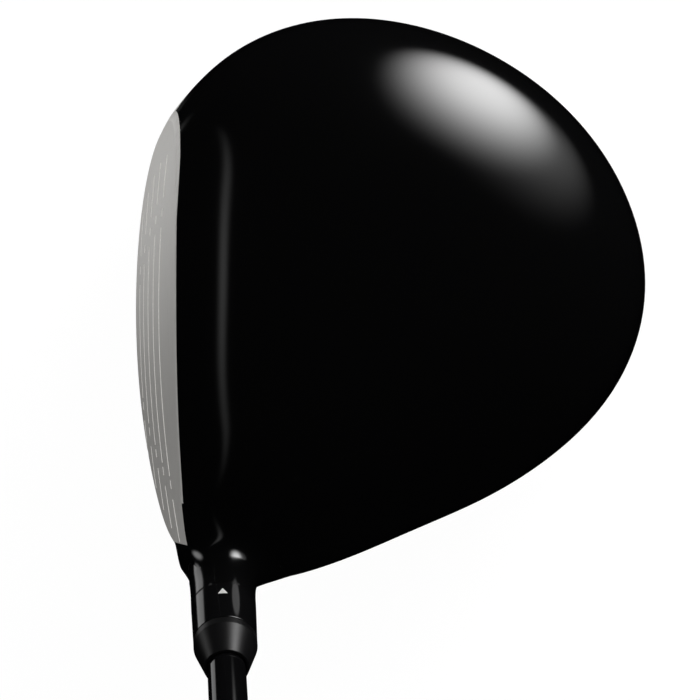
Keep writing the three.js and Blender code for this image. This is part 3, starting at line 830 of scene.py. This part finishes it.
def weight_tools(edge=0.4, outside=12):
    """The boss inside the sole and the stepped port in it."""
    floor = -(WEIGHT_SINK + WEIGHT_THICKNESS + WEIGHT_CLEARANCE)
    deep = floor - WEIGHT_FLOOR - 6
    wall = WEIGHT_RADIUS + WEIGHT_CLEARANCE
    port = [(0, deep), (THREAD_HOLE, deep), (THREAD_HOLE, floor), (wall, floor), (wall, -edge),
            (wall + outside + edge, outside), (0, outside)]
    boss = rod("weight_boss", WEIGHT_BOSS, floor - WEIGHT_FLOOR, 3, WEIGHT)
    return boss, turned("weight_port", port, WEIGHT)


def build_head():
    whole = head_solid("whole_head")
    coarse = dict(rows=ROWS // 3, columns=COLUMNS // 3)
    inner_crown = head_solid("inner_crown", CROWN_WALL, **coarse)
    inner_body = head_solid("inner_body", BODY_WALL, **coarse)
    ahead = face_layer("ahead", None, FACE_RETURN + SEAM)
    core = neck_rod("core", NECK_CORE)
    core_gap = neck_rod("core_gap", NECK_CORE + SEAM)
    zone = neck_rod("zone", NECK_ZONE)
    zone_gap = neck_rod("zone_gap", NECK_ZONE + SEAM)
    mouth = neck_mouth()

    crown = duplicate(whole, "crown")
    carve(crown, "DIFFERENCE", inner_crown, zone_gap, ahead)
    carve(crown, "INTERSECT", above_seam("crown_side", SEAM / 2))
    finish_shell(crown, "crown_black", "composite", "crown_shell")

    face = duplicate(whole, "face_cup_brushed")
    hollow = duplicate(inner_body, "hollow")
    carve(hollow, "DIFFERENCE", face_layer("plate", None, FACE_THICKNESS))
    carve(face, "INTERSECT", face_layer("slab", 0.0, FACE_RETURN))
    carve(face, "DIFFERENCE", hollow, core_gap, chamfer_cutter("rim_bevel"), *groove_cutters())
    dress_face(face)
    finish_piece(face, "head", "face_cup")

    boss, port = weight_tools()
    panel = panel_prism("panel_rim", PANEL_SEAM)
    opening = panel_prism("panel_opening", -PANEL_LEDGE)
    panel_space = carve(duplicate(panel, "panel_space"), "DIFFERENCE", inner_crown)
    crown_space = carve(above_seam("crown_space", -SEAM / 2), "DIFFERENCE", inner_crown)
    crown_space = carve(crown_space, "UNION", above_seam("ledge_top", LEDGE_HEIGHT))
    carve(crown_space, "DIFFERENCE", zone)
    ahead_of_body = carve(duplicate(ahead, "ahead_of_body"), "DIFFERENCE", core)
    body = duplicate(whole, "body")
    carve(body, "DIFFERENCE", inner_body)
    carve(body, "UNION", carve(boss, "INTERSECT", whole))
    carve(body, "DIFFERENCE", crown_space, panel_space, opening, port, mouth, ahead_of_body)
    carve(body, "DIFFERENCE", neck_rod("through", NECK_BORE, -20.0, 30.0))
    finish_shell(body, "head_black", "raw_titanium", "body_shell")

    sole = duplicate(whole, "sole_insert")
    carve(sole, "DIFFERENCE", inner_crown)
    carve(sole, "INTERSECT", panel_prism("panel_cut", 0.0))
    finish_shell(sole, "sole_carbon", "composite", "sole_panel")

    under = -10
    liner = [(TUBE_BORE, under), (TUBE_RADIUS, under), (TUBE_RADIUS, TUBE_TOP), (TUBE_BORE, TUBE_TOP),
             (TUBE_BORE, SEAT_TOP), (SEAT_BORE, SEAT_TOP), (SEAT_BORE, SEAT_BOTTOM), (TUBE_BORE, SEAT_BOTTOM),
             (TUBE_BORE, under)]
    tube = turned("hosel_liner", soften(liner, 0.15), HOSEL)
    plain_piece(carve(tube, "INTERSECT", whole), "head", "raw_titanium", "hosel_tube")


# ---------------- adapter, shaft and grip
def build_ring():
    profile = [(RING_BORE, RING_BOTTOM), (NECK_RADIUS, RING_BOTTOM), (RING_TOP_RADIUS, RING_TOP),
               (RING_BORE, RING_TOP), (RING_BORE, RING_BOTTOM)]
    ring = turned("ring", soften(profile, 0.22), HOSEL, 128)
    plain_piece(ring, "setting_ring", "ring_black", "adapter_ring")
    arrow = smooth(paint(ring_arrow(), "mark_white"), 35)
    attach(arrow, "setting_ring")


def ring_arrow():
    """A small white triangle let into the upper side of the ring, pointing at the head."""
    tip, base, half_width, proud, depth = RING_BOTTOM + 2.3, RING_BOTTOM + 4.15, 1.08, 0.03, 0.35
    upper = math.atan2(HOSEL[2, 1], HOSEL[2, 0])
    share = np.linspace(0.02, 1, 8)[:, None]
    across = np.linspace(-1, 1, 9)
    turn = upper + across * share * half_width / NECK_RADIUS
    heights = tip + (base - tip) * share

    def layer(radius):
        return stack(radius * np.cos(turn), radius * np.sin(turn), heights) @ HOSEL[:3, :3].T + FOOT

    return grid_block("ring_arrow", layer(NECK_RADIUS + proud), layer(NECK_RADIUS - depth))


def build_sleeve():
    step = SLEEVE_TOP - FLANGE_THICKNESS
    blank = [(0, SLEEVE_BOTTOM), (SLEEVE_RADIUS, SLEEVE_BOTTOM), (SLEEVE_RADIUS, step), (SLEEVE_FLANGE, step),
             (SLEEVE_FLANGE, SLEEVE_TOP), (0, SLEEVE_TOP)]
    sleeve = carve(turned("sleeve", blank, HOSEL), "DIFFERENCE",
                   rod("shaft_pocket", SLEEVE_POCKET, POCKET_FLOOR, 100, HOSEL),
                   rod("screw_pocket", SLEEVE_THREAD, 0, SLEEVE_FLOOR, HOSEL))
    plain_piece(sleeve, "shaft_assembly", "sleeve_aluminium", "adapter_sleeve")


def build_ferrule():
    start = RING_TOP + FERRULE_GAP
    end = start + FERRULE_LENGTH
    recess, inner = SLEEVE_TOP + 0.3, SLEEVE_FLANGE + 0.3
    profile = [(inner, start), (RING_TOP_RADIUS, start), (RING_TOP_RADIUS, start + FERRULE_STRAIGHT),
               (FERRULE_TIP, end), (FERRULE_BORE, end), (FERRULE_BORE, recess), (inner, recess),
               (inner, start)]
    ferrule = turned("ferrule_collar", soften(profile, 0.15), HOSEL, 128)
    plain_piece(ferrule, "shaft_assembly", "ferrule_black", "ferrule")


def shaft_radius(t):
    taper_start = SHAFT_BOTTOM + SHAFT_PARALLEL
    part = np.clip((t - taper_start) / (CLUB_LENGTH - 8 - taper_start), 0, 1)
    return SHAFT_TIP + (SHAFT_BUTT - SHAFT_TIP) * part


def build_shaft():
    top = CLUB_LENGTH - CAP_DEPTH - 2
    stations = np.linspace(SHAFT_BOTTOM, top, 40)
    outside = [(shaft_radius(t), t) for t in stations]
    inside = [(shaft_radius(t) - SHAFT_WALL, t) for t in stations[::-1]]
    shaft = turned("club_shaft", soften([*outside, *inside, outside[0]], 0.2), HOSEL)
    plain_piece(shaft, "shaft_assembly", "shaft_black", "shaft")

    profile = [(0, PLUG_BOTTOM), (PLUG_RADIUS, PLUG_BOTTOM), (PLUG_RADIUS, PLUG_TOP), (0, PLUG_TOP)]
    plug = turned("tip_plug", soften(profile, 0.4), HOSEL, 48)
    plain_piece(plug, "shaft_assembly", "brass", "shaft_tip_plug")


def grip_radius(t):
    part = (t - (CLUB_LENGTH - GRIP_LENGTH)) / (GRIP_LENGTH - CAP_DEPTH)
    return GRIP_MOUTH + (GRIP_BUTT - GRIP_MOUTH) * part


def grip_outline():
    """Radii and heights up the outside of the grip, with bands of shallow moulded rings."""
    bottom, top = CLUB_LENGTH - GRIP_LENGTH, CLUB_LENGTH - CAP_DEPTH
    pitch, cut, depth, bands, plain = 2.6, 0.9, 0.3, 6, 8.0
    lip = bottom + 1.6
    outline = [(GRIP_MOUTH - 1.3, bottom), (GRIP_MOUTH - 0.4, bottom + 0.5), (grip_radius(lip), lip)]
    band = (top - bottom - 10 - plain * (bands - 1)) / bands
    for k in range(bands):
        start = bottom + 5 + k * (band + plain)
        for n in range(int(band / pitch)):
            t = start + n * pitch
            radius = grip_radius(t)
            outline += [(radius, t), (radius - depth, t + cut * 0.3), (radius - depth, t + cut * 0.7),
                        (radius, t + cut)]
    return outline + [(grip_radius(top - 0.5), top - 0.5), (grip_radius(top) - 0.4, top)]


def build_grip():
    def bore(t):
        return shaft_radius(t) + TAPE + GRIP_GAP

    outline = grip_outline()
    bottom, top = outline[0][1], outline[-1][1]
    grip = turned("rubber_grip", [*outline, (bore(top), top), (bore(bottom), bottom), outline[0]], HOSEL)
    plain_piece(grip, "shaft_assembly", "grip_rubber", "grip", 50)

    start, end = top + 0.3, CLUB_LENGTH
    edge, dish, hole = 1.5, 0.5, 2.5
    profile = [(0, start), (GRIP_BUTT, start), (CAP_RADIUS, start + 2), (CAP_RADIUS, end - edge),
               (CAP_RADIUS - edge, end), (9.0, end), (8.6, end - dish), (7.6, end - dish), (7.2, end),
               (1.3, end), (1.0, end - hole), (0, end - hole)]
    cap = turned("butt_cap", soften(profile, 0.5, 4), HOSEL)
    plain_piece(cap, "shaft_assembly", "cap_rubber", "grip_cap", 50)

    inner = [(shaft_radius(t) + TAPE_GAP, t) for t in (bottom + 10, CLUB_LENGTH - CAP_DEPTH - 4)]
    outer = [(r + TAPE, t) for r, t in reversed(inner)]
    tape = turned("tape_wrap", [*inner, *outer, inner[0]], HOSEL)
    plain_piece(tape, "shaft_assembly", "tape", "grip_tape")


# ---------------- screws, washer and weight
def socket_screw(name, place, head, bottom, seat, tip, socket):
    """A socket head screw standing head down on the axis, with threads as fine rings on its shank."""
    root = THREAD_RADIUS - THREAD_DEPTH
    shank = [(root, seat + 0.01)]
    for n in range(int((tip - 0.6 - seat) / THREAD_PITCH)):
        t = seat + 0.3 + n * THREAD_PITCH
        shank += [(root, t), (THREAD_RADIUS, t + 0.3), (THREAD_RADIUS, t + 0.45)]
    shank += [(THREAD_RADIUS - 0.5, tip), (0, tip)]
    screw = turned(name, soften([(0, bottom), (head, bottom), (head, seat)], 0.35) + shank, place, 64)
    hexagon, depth = socket
    lead = 0.25
    hole = [(0, bottom - 1), (hexagon + 1 + lead, bottom - 1), (hexagon, bottom + lead),
            (hexagon, bottom + depth), (0, bottom + depth + 1)]
    return carve(screw, "DIFFERENCE", turned("socket", hole, place, 6))


def build_fasteners():
    bolt = socket_screw("hosel_bolt", HOSEL, BOLT_HEAD, BOLT_BOTTOM, BOLT_SEAT, BOLT_TIP, BOLT_SOCKET)
    plain_piece(bolt, "hosel_screw", "screw_steel", "adapter_screw", 40)

    profile = [(THREAD_HOLE, WASHER_BOTTOM), (WASHER_RADIUS, WASHER_BOTTOM), (WASHER_RADIUS, WASHER_TOP),
               (THREAD_HOLE, WASHER_TOP), (THREAD_HOLE, WASHER_BOTTOM)]
    washer = turned("bolt_washer", soften(profile, 0.12), HOSEL)
    plain_piece(washer, "washer", "screw_steel", "screw_washer")

    flipped = WEIGHT.copy()
    flipped[:3, 1:3] *= -1
    seat = WEIGHT_SINK + POCKET_DEPTH - 0.1
    start = seat - WEIGHT_BOLT_HEIGHT
    bolt = socket_screw("weight_bolt", flipped, WEIGHT_BOLT_HEAD, start, seat, start + WEIGHT_BOLT_LENGTH,
                        WEIGHT_BOLT_SOCKET)
    plain_piece(bolt, "weight_screw", "screw_steel", "rear_weight_screw", 40)

    top = -WEIGHT_SINK
    bottom = top - WEIGHT_THICKNESS
    slant = 0.2
    profile = [(THREAD_HOLE, bottom), (WEIGHT_RADIUS, bottom), (WEIGHT_RADIUS, top), (RILL_OUTER, top),
               (RILL_OUTER - slant, top - RILL_DEPTH), (RILL_INNER + slant, top - RILL_DEPTH),
               (RILL_INNER, top), (POCKET_RADIUS, top), (POCKET_RADIUS, top - POCKET_DEPTH),
               (THREAD_HOLE, top - POCKET_DEPTH), (THREAD_HOLE, bottom)]
    weight = turned("sole_weight", soften(profile, 0.3), WEIGHT, 128)
    plain_piece(weight, "weight", "weight_tungsten", "rear_weight")


# ---------------- studio
def sheet(name, half_width, half_height):
    """A flat rectangle in its own plane, in metres."""
    mesh = bpy.data.meshes.new(name)
    corners = [(x * half_width, y * half_height, 0) for x, y in ((-1, -1), (1, -1), (1, 1), (-1, 1))]
    mesh.from_pydata(corners, [], [(0, 1, 2, 3)])
    obj = bpy.data.objects.new(name, mesh)
    bpy.context.scene.collection.objects.link(obj)
    return obj


def card(name, toward, distance, lobes, up=(0, 0, 1), target=(0, 0, 0.04), bend=0.0):
    """A softbox that faces the target from a direction; each lobe is a soft oval of light on it.

    A lobe is (x, y, half width, half height, share that is evenly bright, strength), in metres on the card.
    """
    toward = Vector(toward).normalized()
    across = Vector(up).cross(toward).normalized()
    upright = toward.cross(across)
    width = 1.05 * max(abs(x) + half_width for x, y, half_width, half_height, *_ in lobes)
    height = 1.05 * max(abs(y) + half_height for x, y, half_width, half_height, *_ in lobes)
    width += abs(bend) * height ** 2
    obj = sheet(name, width, height)
    obj.matrix_world = (Matrix.Translation(Vector(target) + toward * distance)
                        @ Matrix((across, upright, toward)).transposed().to_4x4())
    obj.visible_camera = False
    obj.data.materials.append(glow(name, lobes, bend))
    obj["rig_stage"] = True
    return obj


def glow(name, lobes, bend):
    """Emission toward the target only: the sum of the lobes, curved sideways by bend times height squared."""
    look = Look(name, (0, 0, 0), 1.0)
    look.nodes.remove(look.surface)
    place = look.axes(look.node("TexCoord").outputs["Object"])
    height = place["Y"]
    across = look.math("MULTIPLY_ADD", look.math("MULTIPLY", height, height), bend, place["X"])
    total = 0.0
    for x, y, half_width, half_height, even, strength in lobes:
        u = look.math("MULTIPLY", look.math("SUBTRACT", across, x), 1 / half_width)
        v = look.math("MULTIPLY", look.math("SUBTRACT", height, y), 1 / half_height)
        radius = look.math("SQRT", look.math("ADD", look.math("MULTIPLY", u, u), look.math("MULTIPLY", v, v)))
        fade = look.node("MapRange", {"From Min": even, "From Max": 1.0, "To Min": strength, "To Max": 0.0},
                         interpolation_type="SMOOTHERSTEP")
        look.link(radius, fade.inputs["Value"])
        total = look.math("ADD", fade.outputs["Result"], total)
    facing = look.node("NewGeometry").outputs["Backfacing"]
    emission = look.node("Emission")
    look.link(look.math("MULTIPLY", total, facing), emission.inputs["Strength"])
    both = look.node("AddShader")
    look.link(emission.outputs[0], both.inputs[0])
    look.link(look.node("BsdfTransparent").outputs[0], both.inputs[1])
    look.show(both.outputs[0])
    return look.material


def build_world():
    """White to the camera, a soft fill for matt surfaces and dark in mirror reflections."""
    world = bpy.data.worlds.new("studio")
    bpy.context.scene.world = world
    studio = Nodes(world)
    ray = studio.node("LightPath").outputs
    level = studio.math("MULTIPLY_ADD", ray["Is Camera Ray"], 0.55, 0.45)
    background = studio.nodes["Background"].inputs
    background["Color"].default_value = (1, 1, 1, 1)
    studio.link(studio.math("SUBTRACT", level, ray["Is Glossy Ray"], use_clamp=True), background["Strength"])


def build_floor():
    """Pale floor with a faint shadow; it isn't seen from below or in mirror reflections."""
    floor = sheet("floor", 6.0, 6.0)
    floor.location.z = -0.0004
    floor.visible_glossy = False
    look = Look("floor", (0.9, 0.9, 0.9), 0.9)
    look.tint(look.noise((0.02, 0.02, 0.02)), (0.88, 0.88, 0.88), (0.92, 0.92, 0.92))
    emission = look.node("Emission", {"Strength": 1.03})
    lit = look.mix(0.94, look.surface.outputs[0], emission.outputs[0])
    from_below = look.node("NewGeometry").outputs["Backfacing"]
    look.show(look.mix(from_below, lit, look.node("BsdfTransparent").outputs[0]))
    floor.data.materials.append(look.material)
    floor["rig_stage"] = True


def on_hosel(height):
    """The point of the hosel axis at a height, in metres."""
    return Vector((FOOT + AXIS * height) * METRES)


def build_lights():
    key = 1.1        # distance of the key softbox, whose lobes are sized as seen from the head
    card("softbox_rear_toe", (0.497, 0.709, 0.5), key,
         [(0.07 * key, -0.30 * key, 0.44 * key, 0.83 * key, 0.0, 14.0),
          (-0.10 * key, -0.30 * key, 0.62 * key, 0.90 * key, 0.0, 1.6)])
    card("strip_front", (-0.63, 0.04, 1.0), 1.2, [(0, 0.16, 0.13, 1.03, 0.0, 0.76)], up=(0, 1, 0),
         bend=0.8)
    card("low_front", (-0.62, 0.40, -0.68), 0.45, [(0, 0, 0.12, 0.10, 0.7, 1.2)], up=(0, 0.86, 0.51),
         target=on_hosel(RING_BOTTOM))
    card("beside_hosel", (0.480, 0.740, 0.463), 0.0108, [(0, 0, 0.0022, 0.008, 0.6, 0.8)], up=AXIS,
         target=on_hosel(67.5))
    card("ferrule_side", (-0.906, 0.395, -0.244), 2.0, [(0, 0, 0.70, 0.38, 0.2, 2.6)],
         target=on_hosel(RING_TOP + FERRULE_LENGTH / 2))
    card("under_face", (0, 0, -1), 0.004, [(0, 0, 0.026, 0.060, 0.0, 0.6)], up=(0, 1, 0),
         target=(-0.070, 0.020, 0))
    toe_fill = card("toe_fill", (-0.9, 0.3, -0.3), 0.035, [(0, 0, 0.016, 0.016, 0.0, 4.5)],
                    target=(-0.047, 0.052, 0.030))
    toe_fill.visible_glossy = False


def build_camera():
    target = Vector((-0.0041, -0.0111, 0.045))
    tilt = math.radians(2.3)
    back = Vector((-math.sin(tilt), 0, math.cos(tilt)))
    camera = bpy.data.objects.new("camera", bpy.data.cameras.new("camera"))
    camera.data.lens = 173.5
    camera.data.sensor_width = 36.0
    camera.location = target + back * 0.77
    side = Vector((0, 1, 0)).cross(back).normalized()
    camera.rotation_euler = Matrix((side, back.cross(side), back)).transposed().to_euler()
    bpy.context.scene.collection.objects.link(camera)
    bpy.context.scene.camera = camera


cad_objects = set(bpy.data.objects)
for build in (build_head, build_ring, build_sleeve, build_ferrule, build_shaft, build_grip, build_fasteners):
    build()
for helper in set(bpy.data.objects) - cad_objects:
    if "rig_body" not in helper:
        bpy.data.objects.remove(helper)
build_world()
build_floor()
build_lights()
build_camera()
bpy.context.scene.view_settings.view_transform = "Standard"

boxes = {"cad": CAD_BOX, "visual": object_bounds()}
{name: [list(corner) for corner in box] for name, box in boxes.items()}
